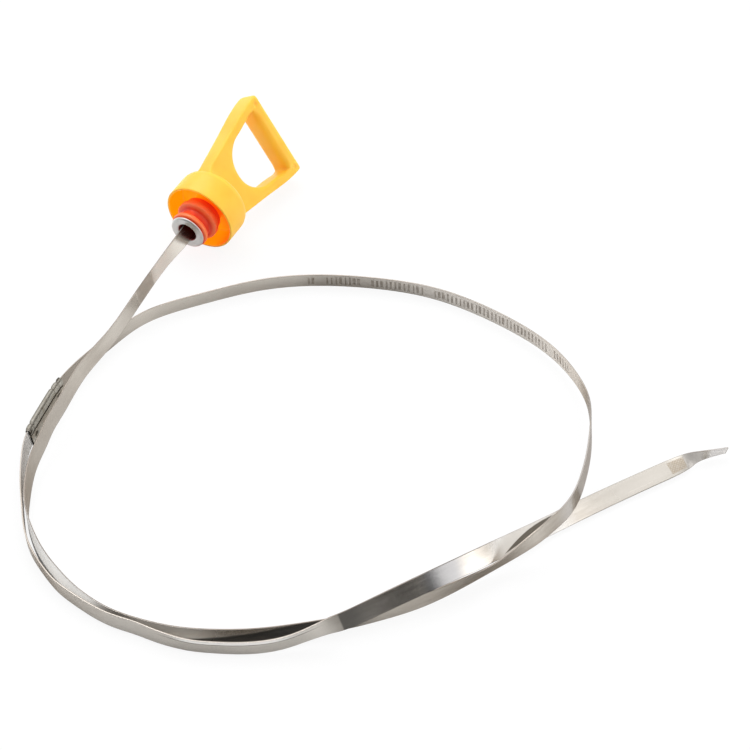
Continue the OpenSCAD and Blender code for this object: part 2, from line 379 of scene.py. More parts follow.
# The inner face's middle lies at v = 0 and the outer face's at v = OUTER, in metres.
OUTER = 0.05
# Places for painted light and shade: the wedge and the lens are painted shade, and under the brim runs a
# thin line of painted shade.
SIDES = {"both": (-1.0, 1.0), "inner": (-1.0, OUTER / 2), "outer": (OUTER / 2, 1.0),
         "wedge": (OUTER / 2, 1.0), "shadow_lens": (OUTER / 2, 1.0), "brim": (OUTER + 1.80 * MM, 1.0),
         "shade_line": (OUTER + 1.55 * MM, OUTER + 1.80 * MM)}


def painted_light_mask(f, u, v, face, span, amount):
    """Strength of a patch of painted light or shade: it rises over the first two of four distances
    along the strip, falls over the last two and keeps to its side's range of v. The outer face's
    brim is its top 1.4 mm, with a thin line of painted shade under it. A wedge of painted shade
    rises below a line that climbs across the outer face, and not with u. A lens of painted shadow and
    reflection lies about a climbing line, at t from 0 to 1: it reaches 1.7 mm times 4 t (1 - t) above
    the line, and 0.5 mm times that below it."""
    rise, fall = f.fit(u, float(span[0]), float(span[1])), f.fit(u, float(span[3]), float(span[2]))
    if face == "wedge":
        line = f.fit(u, float(span[0]), float(span[2]), OUTER - 1.5 * MM, OUTER + 3.8 * MM, smooth=False)
        rise = f.fit(f.math("SUBTRACT", v, line), 0.6 * MM, -0.5 * MM)
    if face == "shadow_lens":
        t = f.fit(u, float(span[0]), float(span[3]), smooth=False)
        arch = f.math("MULTIPLY", f.math("MULTIPLY", t, f.math("SUBTRACT", 1.0, t)), 4.0)
        line = f.fit(t, 0.0, 1.0, OUTER - 2.6 * MM, OUTER + 2.7 * MM, smooth=False)
        over = f.math("SUBTRACT", v, line)
        rise = f.fit(f.math("SUBTRACT", f.math("MULTIPLY", arch, 1.7 * MM), over), 0.0, 0.35 * MM)
        fall = f.fit(f.math("ADD", f.math("MULTIPLY", arch, 0.5 * MM), over), 0.0, 0.35 * MM)
    low, high = SIDES[face]
    side = f.math("MULTIPLY", f.math("GREATER_THAN", v, low), f.math("LESS_THAN", v, high))
    return f.math("MULTIPLY", f.math("MULTIPLY", f.math("MULTIPLY", rise, fall), side), amount)


def blade_steel(name, base, stained, marks, patches):
    """Metal whose tone drifts along the strip; marks(f, u, v) returns the etched places
    and their colour. The outermost fifth of a millimetre at each edge was slit, and is
    duller and darker than the rolled faces. Each patch is painted light or shade, dark painted
    reflections and shadows or pale painted highlights; it gives its face, its span in stations,
    tone, strength and how far it hides the metal. There the face turns matte, with a weak painted glow."""
    f = Finish(name)
    parts = f.add("ShaderNodeSeparateXYZ", {"Vector": f.coords(uv=True)})
    u, v = parts.outputs[0], parts.outputs[1]
    grain = f.noise(1.0, 4.0, 0.65, f.coords((45.0, 9000.0, 1.0), uv=True))
    fine = f.noise(1.0, 2.0, 0.5, f.coords((160.0, 26000.0, 1.0), uv=True))
    patch = f.fit(f.noise(1.0, 3.0, 0.6, f.coords((38.0, 160.0, 1.0), uv=True)), 0.36, 0.70)
    spots = f.fit(f.noise(900.0, 4.0, 0.7), 0.63, 0.74)
    colour = f.mix(patch, base, stained)
    colour = f.mix(f.fit(grain, 0.3, 0.7, 0.0, 0.25), colour, (0.26, 0.22, 0.18, 1))
    colour = f.mix(f.math("MULTIPLY", spots, 0.30), colour, (0.20, 0.16, 0.12, 1))
    rough = f.fit(grain, 0.25, 0.75, 0.16, 0.28)
    # Painted light: patches of painted reflection, shadow and highlight, with a painted glow where they
    # make the steel matte.
    painted_matte_glow = 0.0
    for face, span, tone, amount, dull in patches:
        mask = painted_light_mask(f, u, v, face, distance_at(np.array(span)), amount)
        colour = f.mix(mask, colour, tone)
        painted_matte_glow = f.math("ADD", painted_matte_glow, f.math("MULTIPLY", mask, dull), clamp=True)
    etched, etch_colour = marks(f, u, v)
    worn = f.math("MULTIPLY", etched, f.fit(f.noise(420.0, 3.0), 0.30, 0.60, 0.26, 0.58))
    colour = f.mix(worn, colour, etch_colour)
    rough = f.math("ADD", rough, f.math("MULTIPLY", etched, 0.25))
    front = f.math("ABSOLUTE", v)
    back = f.math("ABSOLUTE", f.math("SUBTRACT", v, OUTER))
    edge = f.fit(f.math("MINIMUM", front, back), (STRIP_W / 2 - 0.22) * MM, (STRIP_W / 2 - 0.06) * MM)
    colour = f.mix(f.math("MULTIPLY", edge, 0.6), colour, (0.16, 0.13, 0.11, 1))
    rough = f.math("ADD", rough, f.math("MULTIPLY", edge, 0.2))
    f.link(colour, "Base Color")
    f.link(rough, "Roughness")
    f.link(f.bump(f.math("ADD", grain, f.math("MULTIPLY", fine, 0.5)), 0.22, 0.00003), "Normal")
    f.link(f.math("SUBTRACT", 1.0, painted_matte_glow), "Metallic")
    # Painted glow of the matte patches.
    f.link(colour, "Emission Color")
    f.link(f.math("MULTIPLY", f.math("MULTIPLY", painted_matte_glow, painted_matte_glow), 0.28), "Emission Strength")
    return f.set(Specular_Tint=(0.50, 0.46, 0.42, 1))


# %% [markdown]
# ## Sheet steel of the splice
# The splice is a softer, duller sheet that was folded and crimped. It is darker and
# browner than the blade, with grime, and with painted shade along the fold and beside the seam.


# %% Splice steel
# Station along the route, millimetres round from the seam, and radius of each crimp mark.
CRIMPS = ((45.48, 15.9, 0.9), (45.30, 3.6, 0.8), (46.72, 15.4, 1.0), (46.95, 1.2, 0.9))


def splice_steel():
    """UV u runs along the sleeve and v round it from the seam, so the painted shade at the fold on
    the upper edge and the painted shade beside the seam are bands of v. A crimp mark is where the
    distance from its middle, the root of 0.3 du du + dv dv, is small, which makes it longer along the
    sleeve."""
    f = Finish("splice_steel")
    grain = f.noise(1.0, 4.0, 0.6, f.coords((200.0, 2500.0, 1.0), uv=True))
    grime = f.fit(f.noise(420.0, 5.0, 0.65), 0.45, 0.68)
    parts = f.add("ShaderNodeSeparateXYZ", {"Vector": f.coords(uv=True)})
    u, v = parts.outputs[0], parts.outputs[1]
    # Painted shade: a dark band along the fold and a brown band beside the seam.
    fold = f.math("MULTIPLY", f.fit(v, 1.8 * MM, 2.6 * MM), f.fit(v, 5.6 * MM, 4.9 * MM))
    stain = f.math("MULTIPLY", f.fit(v, 14.6 * MM, 16.2 * MM), f.fit(v, 17.6 * MM, 17.4 * MM))
    colour = f.mix(grime, (0.47, 0.45, 0.40, 1), (0.34, 0.31, 0.25, 1))
    colour = f.mix(f.math("MULTIPLY", fold, 0.62), colour, (0.12, 0.11, 0.095, 1))
    colour = f.mix(f.math("MULTIPLY", stain, 0.55), colour, (0.20, 0.16, 0.12, 1))
    for station, run, size in CRIMPS:
        du = f.math("SUBTRACT", u, float(distance_at(np.array([station]))[0]))
        dv = f.math("SUBTRACT", v, run * MM)
        reach = f.math("SQRT", f.math("ADD", f.math("MULTIPLY", f.math("MULTIPLY", du, du), 0.3),
                                      f.math("MULTIPLY", dv, dv)))
        mark = f.fit(reach, size * MM, 0.5 * size * MM, 0.0, 0.85)
        colour = f.mix(mark, colour, (0.05, 0.042, 0.035, 1))
    f.link(colour, "Base Color")
    f.link(f.fit(grain, 0.3, 0.7, 0.38, 0.52), "Roughness")
    f.link(f.bump(grain, 0.3, 0.00005), "Normal")
    return f.set(Metallic=1.0, Specular_Tint=(0.3, 0.28, 0.25, 1))


# %% [markdown]
# ## The strip's route
# The blade follows one smooth curve through space. Each row below is a control point of
# a uniform cubic B-spline: x, y, height, and how far the strip leans from upright, in
# millimetres and degrees. A B-spline is smooth in slope and in curvature, which matters
# on polished steel: any jump in curvature would show as a break in the reflection.

# %% Route
ROUTE = np.array([
    [-103, 67.5, 15.8, -29], [-103, 57.5, 14.6, -29], [-103, 48, 13.6, -29], [-102, 40, 13.6, -16],
    [-101.5, 31, 13.6, -3], [-97.5, 4, 13.2, -9], [-94, -14.5, 13, -7], [-95.5, -32, 11.4, -15],
    [-92.5, -47, 8.8, -13], [-91.5, -56.5, 7.6, -12], [-89.5, -62.5, 6.6, -13],
    [-87.5, -71.5, 5.6, -13], [-84, -79, 4.6, -11], [-79.5, -86.5, 3.8, -9], [-74.5, -93, 3.4, 4],
    [-62, -103, 3.4, 12], [-51, -108, 3.4, 15], [-43.5, -110.5, 3.4, 7], [-34, -112.5, 3.4, 4],
    [-24, -113, 3.4, 2], [-9, -110.5, 3.4, 6], [0.5, -107, 3.4, 4], [14, -100, 3.4, 4],
    [23.5, -93, 3.4, 2], [37.5, -81.5, 3.4, 2], [45.5, -73, 3.4, 2], [54.5, -63, 3.4, 2],
    [62.5, -50.5, 3.4, -9], [70.5, -37.5, 4.2, -26], [77.5, -27, 10, 11], [79.5, -18.5, 9, 7],
    [82.5, -6.5, 9.2, 13], [79, 11, 8.2, 10], [75.5, 23, 7.4, 12], [70, 37, 6.6, 1], [64, 47, 5.8, 7],
    [50, 59.5, 4.8, 6], [32.5, 68, 4, 5], [3.5, 73.5, 3.4, 3], [-18.5, 72, 3.4, 12],
    [-49.5, 60.5, 3.4, 10], [-69.5, 46.5, 3.4, 10], [-83, 29.5, 3.4, 11], [-98, 11, 3.6, 6],
    [-100.5, -7, 3.4, -2], [-103, -32.5, 4.2, -8], [-99, -49, 4.2, -10], [-96, -63.5, 4.2, -8],
    [-91.5, -72, 4, -4], [-84.5, -82.5, 3.6, -1], [-77, -91.5, 3.4, 3], [-67.5, -102.5, 3.4, -3],
    [-52.5, -110, 3.4, -7], [-47, -112, 3.4, -4], [-28.5, -115, 3.4, -1], [-19, -113, 3.4, 1],
    [-10.5, -113, 3.4, -1], [-1, -111.5, 3.4, -7], [4.5, -109.5, 3.4, -8], [16.5, -104, 3.4, -5],
    [25, -98, 4, -5], [30.5, -93, 6, -7], [37, -87, 8.8, 8], [40.5, -85.5, 10.6, 23],
    [51.5, -69, 12.4, 31], [60.5, -55.5, 13.2, 38], [69, -34, 8, 41], [75, -17, 2.4, 52],
    [82.5, -4, 2.8, 63], [93, 14, 2.4, 69], [100.5, 26, 2.4, 75], [106, 34.5, 2.6, 64],
    [108.5, 38.5, 3, -5], [116.5, 45.5, 3.4, -20]])
SPANS = len(ROUTE) - 1
JOINT = 46.1
STRIP_W, STRIP_T, TIP_W = 6.35, 0.5, 4.4


def spline_mix(t, a, b, c, d):
    """Cubic B-spline between b and c: the four neighbours weighed by its basis, which is
    (1 - t)^3, 3 t^3 - 6 t^2 + 4, -3 t^3 + 3 t^2 + 3 t + 1 and t^3, all over 6."""
    return ((1 - t) ** 3 * a + (3 * t**3 - 6 * t**2 + 4) * b
            + (-3 * t**3 + 3 * t**2 + 3 * t + 1) * c + t**3 * d) / 6


def route_at(u):
    """Point and lean at stations u, with the route's ends carried on in a straight line."""
    pts = np.vstack([2 * ROUTE[0] - ROUTE[1], ROUTE, 2 * ROUTE[-1] - ROUTE[-2]])
    i = np.minimum(np.floor(u).astype(int), SPANS - 1)
    return spline_mix((u - i)[:, None], pts[i], pts[i + 1], pts[i + 2], pts[i + 3])


def strip_frame(u):
    """Middle, width direction and thickness direction at each station. The route's slope is
    taken between points 0.02 stations on either side, and the width direction is the upright
    across it, leant over by the station's angle: cos(lean) up + sin(lean) sideways."""
    p = route_at(u)
    ahead, behind = route_at(np.minimum(u + 0.02, SPANS)), route_at(np.maximum(u - 0.02, 0))
    along = ahead[:, :3] - behind[:, :3]
    along /= np.linalg.norm(along, axis=1)[:, None]
    side = np.cross([0.0, 0.0, 1.0], along)
    side /= np.linalg.norm(side, axis=1)[:, None]
    lean = np.radians(p[:, 3])[:, None]
    wide = np.cos(lean) * np.cross(along, side) + np.sin(lean) * side
    return p[:, :3], wide, np.cross(wide, along)


def distance_at(u):
    """Length of strip, in metres, from the route's start to each station."""
    fine = np.linspace(0, SPANS, 4001)
    steps = np.linalg.norm(np.diff(route_at(fine)[:, :3], axis=0), axis=1)
    return np.interp(u, fine, np.concatenate([[0], np.cumsum(steps)])) * MM


print("strip length, m:", round(float(distance_at(np.array([SPANS]))[0]), 3))

# %% [markdown]
# ## The blades
# Strip is slit from a sheet and its edges are dressed, so they are slightly round. The
# section is a rectangle with small round corners and a spare point just inside each
# corner, which keeps the flat faces flat under smooth shading. Each point keeps its
# distance from the strip's edge, so the corners stay as they are where the tip narrows.


# %% Strip section
TAPER_AT, TAPER_RUN = SPANS - 3, 2.2


def strip_section(r=0.09, spare=0.12, steps=3):
    """Round-cornered rectangle, a row for each point: side (1 or -1), distance in from that
    side's edge, and height through the strip. A corner is a quarter circle, r (1 - cos a) in
    and t/2 - r + r sin a high, and a spare point follows it along the flat."""
    a = np.linspace(0, np.pi / 2, steps + 1)
    high = STRIP_T / 2
    corner = np.stack([np.ones(len(a)), r * (1 - np.cos(a)), high - r + r * np.sin(a)], 1)
    corner = np.vstack([corner, [1, r + spare, high]])
    half = np.vstack([corner, corner[::-1] * [-1, 1, 1]])
    return np.vstack([half, half * [-1, 1, -1]])


def strip_width(u):
    """Full width, eased down to the narrow tip by half a cosine over 2.2 stations."""
    s = np.clip((u - TAPER_AT) / TAPER_RUN, 0, 1)
    return STRIP_W + (TIP_W - STRIP_W) * (1 - np.cos(np.pi * s)) / 2


def blade(name, start, stop, material, per_span=16):
    """The section carried along the route: at each station, middle + across times the width
    direction + through times the thickness direction. v is the place across the full-width
    strip, with OUTER added on the outer face."""
    u = np.linspace(start, stop, int((stop - start) * per_span))
    mid, wide, thick = strip_frame(u)
    side, inward, through = strip_section().T
    across = side * (strip_width(u)[:, None] / 2 - inward)
    points = mid[:, None] + across[..., None] * wide[:, None] + through[None, :, None] * thick[:, None]
    v = side * (STRIP_W / 2 - inward) * MM + np.where(through > 0, 0.0, OUTER)
    return build(name, [grid_part(points * MM, distance_at(u), np.append(v, v[0]), flip=True)], material)


# %% Blade pieces
ROOT_AT, JOINT_GAP = 0.4, 0.004
MARKS_FROM, MARKS_TO = distance_at(np.array([35.74, 40.30]))
BAND_FROM, BAND_TO = distance_at(np.array([4.38, 4.90]))
HATCH_FROM, HATCH_TO = distance_at(np.array([70.34, 71.05]))


def upper_marks(f, u, v):
    """A row of small etched strokes on the coil's inner face, and a worn band near the grip."""
    row = strokes(f, u, v, MARKS_FROM, MARKS_TO, 1.75 * MM)
    band = f.math("MULTIPLY", f.math("GREATER_THAN", u, BAND_FROM), f.math("LESS_THAN", u, BAND_TO))
    return f.math("MAXIMUM", row, f.math("MULTIPLY", band, 0.5)), (0.14, 0.105, 0.07, 1)


def lower_marks(f, u, v):
    """Crossed hatching on the tail's upper face."""
    lines = hatch(f, u, v, HATCH_FROM, HATCH_TO, OUTER - 2.2 * MM, OUTER + 2.2 * MM, 1.1 * MM)
    return lines, (0.24, 0.16, 0.07, 1)


# Each patch of painted light or shade: face, four stations, tone, strength, and how far it hides the
# metal.
UPPER_PAINTED_LIGHT = [("both", (0.1, 0.3, 4.2, 4.5), (0.86, 0.82, 0.75, 1), 0.70, 0.0),
                 ("both", (4.8, 4.95, 5.6, 6.6), (0.80, 0.76, 0.70, 1), 0.45, 0.0),
                 ("both", (7.2, 8.2, 12.2, 13.2), (0.42, 0.385, 0.34, 1), 0.60, 0.0),
                 ("outer", (12.6, 13.6, 17.6, 19.2), (0.97, 0.97, 0.96, 1), 1.00, 1.0),
                 ("outer", (18.2, 19.5, 20.6, 22.0), (0.80, 0.76, 0.70, 1), 0.70, 0.8),
                 ("wedge", (20.7, 21.5, 23.4, 25.2), (0.030, 0.029, 0.027, 1), 0.93, 0.0),
                 ("both", (30.0, 30.9, 33.0, 33.6), (0.76, 0.74, 0.72, 1), 0.75, 0.0),
                 ("both", (33.4, 33.6, 34.3, 34.8), (0.44, 0.43, 0.42, 1), 0.60, 0.0),
                 ("inner", (34.7, 35.4, 38.0, 40.2), (0.98, 0.93, 0.87, 1), 0.56, 0.25),
                 ("inner", (40.1, 40.5, 43.0, 44.2), (0.82, 0.765, 0.69, 1), 0.50, 0.0),
                 ("inner", (43.4, 44.8, 46.2, 46.4), (0.29, 0.255, 0.215, 1), 0.75, 0.0)]
LOWER_PAINTED_LIGHT = [("inner", (46.9, 47.0, 48.2, 49.2), (0.85, 0.85, 0.84, 1), 0.60, 0.6),
                 ("outer", (51.5, 53.0, 61.4, 62.6), (0.84, 0.80, 0.74, 1), 0.65, 0.15),
                 ("brim", (56.3, 57.2, 59.6, 61.6), (0.93, 0.91, 0.88, 1), 0.85, 0.6),
                 ("shade_line", (55.8, 56.6, 61.0, 61.9), (0.10, 0.095, 0.088, 1), 0.85, 0.0),
                 ("outer", (62.50, 62.62, 62.9, 63.9), (0.13, 0.125, 0.115, 1), 0.85, 0.0),
                 ("outer", (64.3, 64.6, 65.05, 65.5), (0.20, 0.20, 0.205, 1), 0.85, 0.0),
                 ("outer", (65.7, 66.1, 67.2, 68.0), (0.88, 0.86, 0.83, 1), 0.80, 0.8),
                 ("shadow_lens", (66.0, 66.0, 67.5, 67.5), (0.085, 0.070, 0.050, 1), 0.90, 0.0),
                 ("outer", (68.0, 69.0, 71.0, 71.2), (0.56, 0.53, 0.48, 1), 0.60, 0.5),
                 ("both", (71.0, 71.15, 72.0, 72.3), (0.40, 0.38, 0.355, 1), 0.90, 0.9),
                 ("both", (72.2, 72.5, 72.97, 73.0), (0.90, 0.88, 0.86, 1), 0.90, 0.5)]
upper_steel = blade_steel("upper_blade_steel", (0.60, 0.555, 0.495, 1), (0.49, 0.445, 0.39, 1),
                          upper_marks, UPPER_PAINTED_LIGHT)
upper = blade("upper_blade_strip", ROOT_AT, JOINT - JOINT_GAP, upper_steel)
place(upper, "upper_blade")
lower_steel = blade_steel("lower_blade_steel", (0.60, 0.56, 0.505, 1), (0.49, 0.45, 0.40, 1),
                          lower_marks, LOWER_PAINTED_LIGHT)
lower = blade("lower_blade_strip", JOINT + JOINT_GAP, SPANS, lower_steel)
place(lower, "lower_blade")

# %% [markdown]
# ## The splice
# A strip of sheet was wrapped round both blade ends and its edges left a hair apart, so
# the section is an open letter C laid flat. Crimping left shallow notches in its edges.
# The same frame that carries the blade carries this section.

# %% Splice
SLEEVE_W, SLEEVE_T, SEAM = 7.55, 1.9, (0.4, 1.1)
FOLD_R, LIP_R, PLAY = 0.75, 0.12, 0.03
SLEEVE_FROM, SLEEVE_TO = JOINT - 0.85, JOINT + 0.9
NOTCHES, NOTCH_DEPTH, NOTCH_REACH = (-12.5, -9.0, 9.0, 12.5), 0.34, 0.55


def bend(centre, radius, start, stop, steps=6):
    """Arc points round a centre, between two angles in degrees."""
    a = np.radians(np.linspace(start, stop, steps))
    return np.array(centre) + radius * np.stack([np.cos(a), np.sin(a)], 1)


def folded_section():
    """Outer skin from the seam clockwise to the seam, then the inner skin back again."""
    w, t = SLEEVE_W / 2, SLEEVE_T / 2
    wi, ti = STRIP_W / 2 + PLAY, STRIP_T / 2 + PLAY
    x, y = w - FOLD_R, t - FOLD_R
    first_lip = bend((SEAM[1] + LIP_R, t - LIP_R), LIP_R, 180, 90, 3)
    last_lip = bend((SEAM[0] - LIP_R, t - LIP_R), LIP_R, 90, 0, 3)
    folds = [bend(at, FOLD_R, turn, turn - 90)
             for at, turn in (((x, y), 90), ((x, -y), 0), ((-x, -y), -90), ((-x, y), 180))]
    outer = np.vstack([first_lip, *folds, last_lip])
    inner = np.array([[SEAM[0], ti], [-wi, ti], [-wi, -ti], [wi, -ti], [wi, ti], [SEAM[1], ti]])
    return np.vstack([outer, inner]), len(outer)


def splice(material):
    """The folded section carried along the strip's own frame. At each notch the outer skin
    is drawn in by a depth times e^-(d / reach)^2, for the distance d from the notch, and
    half as much through the thickness."""
    u = np.linspace(SLEEVE_FROM, SLEEVE_TO, 121)
    mid, wide, thick = strip_frame(u)
    section, skin = folded_section()
    run = (distance_at(u) - distance_at(np.array([JOINT]))[0]) / MM
    notch = sum(NOTCH_DEPTH * np.exp(-(((run - at) / NOTCH_REACH) ** 2)) for at in NOTCHES)
    squeeze = np.ones((len(u), len(section), 2))
    squeeze[:, :skin, 0] -= (notch / (SLEEVE_W / 2))[:, None]
    squeeze[:, :skin, 1] -= (0.5 * notch / (SLEEVE_T / 2))[:, None]
    s = section[None] * squeeze
    points = mid[:, None] + s[..., :1] * wide[:, None] + s[..., 1:] * thick[:, None]
    span = np.concatenate([[0], np.cumsum(np.linalg.norm(np.diff(section, axis=0), axis=1))])
    round_it = np.append(span, span[-1] + SEAM[1] - SEAM[0]) * MM
    part = grid_part(points * MM, distance_at(u), round_it, cap=False)
    return build("splice_sleeve", [part], material, 35.0)


sleeve = splice(splice_steel())
place(sleeve, "splice")

# %% [markdown]
# ## Turned rings: seal and ferrule
# Both are round about the grip's axis, so each is one profile carried round a circle.
# The profile is a list of distances along the axis and radii. A helper rounds its
# corners with small curves, since nothing moulded or pressed has a dead sharp edge.

# %% Axis and revolve
def on_axis(s, c, t):
    """Grip coordinates to the row frame: s along the axis, c along the crossbar, t through it."""
    s, c, t = np.broadcast_arrays(s, c, t)
    return MOUTH + s[..., None] * AXIS + c[..., None] * BAR_DIR + t[..., None] * FACE_DIR


def eased(profile, radius=0.25, steps=4):
    """Cuts each corner back by up to a radius and joins the cuts with a parabola."""
    p = np.array(profile, float)
    before, after = np.roll(p, 1, 0) - p, np.roll(p, -1, 0) - p
    lb, la = np.linalg.norm(before, axis=1), np.linalg.norm(after, axis=1)
    a = p + before / lb[:, None] * np.minimum(radius, 0.45 * lb)[:, None]
    b = p + after / la[:, None] * np.minimum(radius, 0.45 * la)[:, None]
    t = np.linspace(0, 1, steps)[None, :, None]
    return ((1 - t) ** 2 * a[:, None] + 2 * t * (1 - t) * p[:, None] + t**2 * b[:, None]).reshape(-1, 2)


def turned(profile, around=128):
    """Carries a closed profile of (radius, s) round the axis: a point at turn w lies radius
    cos w along the crossbar's direction and radius sin w along the face's. UV v is the
    distance along the profile, whose closing side is taken as 0.3 mm."""
    w = np.linspace(0, 2 * np.pi, around, endpoint=False)[:, None]
    r, s = profile[None, :, 0], profile[None, :, 1]
    points = on_axis(s + 0 * w, r * np.cos(w), r * np.sin(w)) * MM
    run = np.concatenate([[0], np.cumsum(np.linalg.norm(np.diff(profile, axis=0), axis=1))])
    return grid_part(points, np.linspace(0, 1, around + 1), np.append(run, run[-1] + 0.3) * MM,
                     wrap_rows=True)


# %% Seal
SEAL = [[4.6, -7.8], [6.7, -7.8], [7.6, -7.3], [7.6, -5.9], [7.0, -5.4], [6.3, -5.0], [6.3, -2.6],
        [7.9, -2.1], [8.6, -1.7], [8.6, 0.3], [8.0, 0.8], [7.6, 1.2], [7.6, 3.4], [6.2, 3.8],
        [6.2, 0], [4.6, 0]]
seal = build("seal_rings", [turned(eased(SEAL, 0.4))], seal_silicone())
place(seal, "seal")

# %% Ferrule
FERRULE = [[3.7, -8.5], [4.3, -9.0], [6.6, -9.0], [7.1, -8.6], [7.1, -8.2], [6.7, -7.8], [4.6, -7.8],
           [4.6, 4.0], [3.7, 4.0]]
ferrule = build("ferrule_flange", [turned(eased(FERRULE, 0.3))], ferrule_steel())
place(ferrule, "ferrule")

# %% [markdown]
# ## The moulded grip
# The cap is turned like the rings. The finger loop is a single closed tube whose section
# changes as it goes round: a broad web at the cap, flat arms, and an oval crossbar. Its
# inner and outer outlines are given as pairs of points for one half and mirrored. Each
# section is a superellipse, |x/a|^n + |y/b|^n = 1, which is boxy for a large n and oval
# near 2, so one formula serves the flat arms and the round bar.

# %% Cap
# Radius and distance along the axis. POLE is the radius at which a profile meets the axis.
POLE = 0.02
CAP_OUT = [[CAP_R - CAP_WALL, 0.0], [CAP_R, 0.0], [CAP_R, 8.5], [14.45, 10.2], [13.9, 11.8],
           [12.4, 13.2], [9.6, 14.4], [5.0, 15.0], [POLE, 15.0], [POLE, CAP_DEPTH], [5.9, CAP_DEPTH],
           [13.0, CAP_DEPTH], [CAP_R - CAP_WALL, 8.4]]
STEM = [[4.6, 0.0], [6.2, 0.0], [6.2, 9.6], [POLE, 9.6], [POLE, 4.0], [4.6, 4.0]]

# %% Finger loop
# c runs along the crossbar from the axis and s along the axis from the cap's mouth, in mm.
LOOP = np.array([
    # outer c, outer s, inner c, inner s, thickness, boxiness
    [0.0, 11.0, 0.0, 26.6, 6.9, 6.0], [4.5, 11.0, 3.6, 27.1, 6.9, 6.0],
    [8.6, 11.2, 7.0, 28.8, 6.9, 6.0], [11.2, 13.0, 9.7, 31.6, 7.0, 6.0],
    [12.6, 18.0, 11.6, 35.0, 7.3, 6.0], [13.9, 25.0, 12.3, 38.6, 7.6, 6.0],
    [15.4, 33.0, 13.0, 41.8, 8.0, 6.0], [17.0, 41.0, 13.7, 44.6, 8.4, 6.0],
    [18.1, 47.8, 14.3, 46.8, 8.8, 6.0], [18.5, 53.4, 14.3, 48.6, 9.0, 6.0],
    [18.1, 55.2, 13.6, 49.2, 9.2, 5.0], [16.2, 55.7, 11.6, 49.3, 9.6, 3.4],
    [11.0, 55.9, 8.6, 49.1, 9.8, 2.8], [5.5, 55.9, 4.4, 49.1, 9.8, 2.8],
    [0.0, 55.9, 0.0, 49.1, 9.8, 2.8]])
DENT_C, DENT_S, DENT_DEPTH = 15.6, 52.1, 0.45
FLARE, FLARE_S, FLARE_REACH = 1.9, 12.5, 2.6


def closed_spline(rows, samples):
    """A periodic cubic B-spline through the rows: the control points are solved so that
    the curve passes through every row."""
    n = len(rows)
    solve = (np.eye(n) * 4 + np.roll(np.eye(n), 1, 1) + np.roll(np.eye(n), -1, 1)) / 6
    control = np.linalg.solve(solve, rows)
    u = np.linspace(0, n, samples, endpoint=False)
    i = np.floor(u).astype(int)
    return spline_mix((u - i)[:, None], *(control[(i + k) % n] for k in (-1, 0, 1, 2)))


def even_ring(x, y, count):
    """Resamples closed rings at equal steps of their own outline."""
    step = np.hypot(np.diff(x, axis=1, append=x[:, :1]), np.diff(y, axis=1, append=y[:, :1]))
    run = np.concatenate([np.zeros((len(x), 1)), np.cumsum(step, axis=1)], 1)
    xs, ys = np.concatenate([x, x[:, :1]], 1), np.concatenate([y, y[:, :1]], 1)
    want = [np.linspace(0, r[-1], count, endpoint=False) for r in run]
    return (np.array([np.interp(w, r, v) for w, r, v in zip(want, run, xs)]),
            np.array([np.interp(w, r, v) for w, r, v in zip(want, run, ys)]))


def finger_loop(around=288, section=56):
    """The loop's grid: superellipse sections set between the inner and outer outlines. Near
    the crossbar's two ends a shallow round dent, e^-(d^2 / 0.9)^2 deep in the distance d from
    its middle, is pressed into both faces. Where the loop leaves the cap, its faces flare out
    by 1.9 mm times e^-((s - 12.5) / 2.6)^2, a fillet, for the distance s along the axis."""
    half = LOOP[1:-1][::-1] * [-1, 1, -1, 1, 1, 1]
    rows = closed_spline(np.vstack([LOOP, half]), around)
    outer, inner, depth, n = rows[:, 0:2], rows[:, 2:4], rows[:, 4], rows[:, 5]
    middle, reach = (outer + inner) / 2, (outer - inner) / 2
    a = np.linspace(0, 2 * np.pi, 720, endpoint=False)[None]
    power = (2 / n)[:, None]
    size = np.linalg.norm(reach, axis=1)[:, None]
    x, y = even_ring(size * np.sign(np.cos(a)) * np.abs(np.cos(a)) ** power,
                     depth[:, None] / 2 * np.sign(np.sin(a)) * np.abs(np.sin(a)) ** power, section)
    flat = middle[:, None] + (x / size)[..., None] * reach[:, None]
    c, s = flat[..., 0], flat[..., 1]
    dent = sum(np.exp(-(((c - k) ** 2 + (s - DENT_S) ** 2) / 0.9) ** 2) for k in (-DENT_C, DENT_C))
    flare = FLARE * np.exp(-(((s - FLARE_S) / FLARE_REACH) ** 2))
    t = y - np.sign(y) * DENT_DEPTH * dent * (np.abs(y) > 2.2) + np.clip(y / 3.4, -1, 1) * flare
    points = on_axis(s, c, t) * MM
    return grid_part(points, np.linspace(0, 0.2, around + 1), np.linspace(0, 0.03, section + 1),
                     wrap_rows=True, flip=True)


# %% Grip piece
grip_parts = [turned(eased(CAP_OUT, 0.45), 160), turned(eased(STEM, 0.2)), finger_loop()]
grip = build("grip_moulding", grip_parts, grip_plastic(), 50.0)
place(grip, "handle")

# %% [markdown]
# ## Table, light and camera
# The table is one large pale sheet. Where the camera sees it, it is mixed with plain
# white, so the page stays white and the shadow stays faint. Polished steel shows what
# it reflects, so the sheet has a satin coat that only reflections meet: strip that
# looks back towards the camera finds the dim side of the room there, and strip that
# looks away finds the bright side.


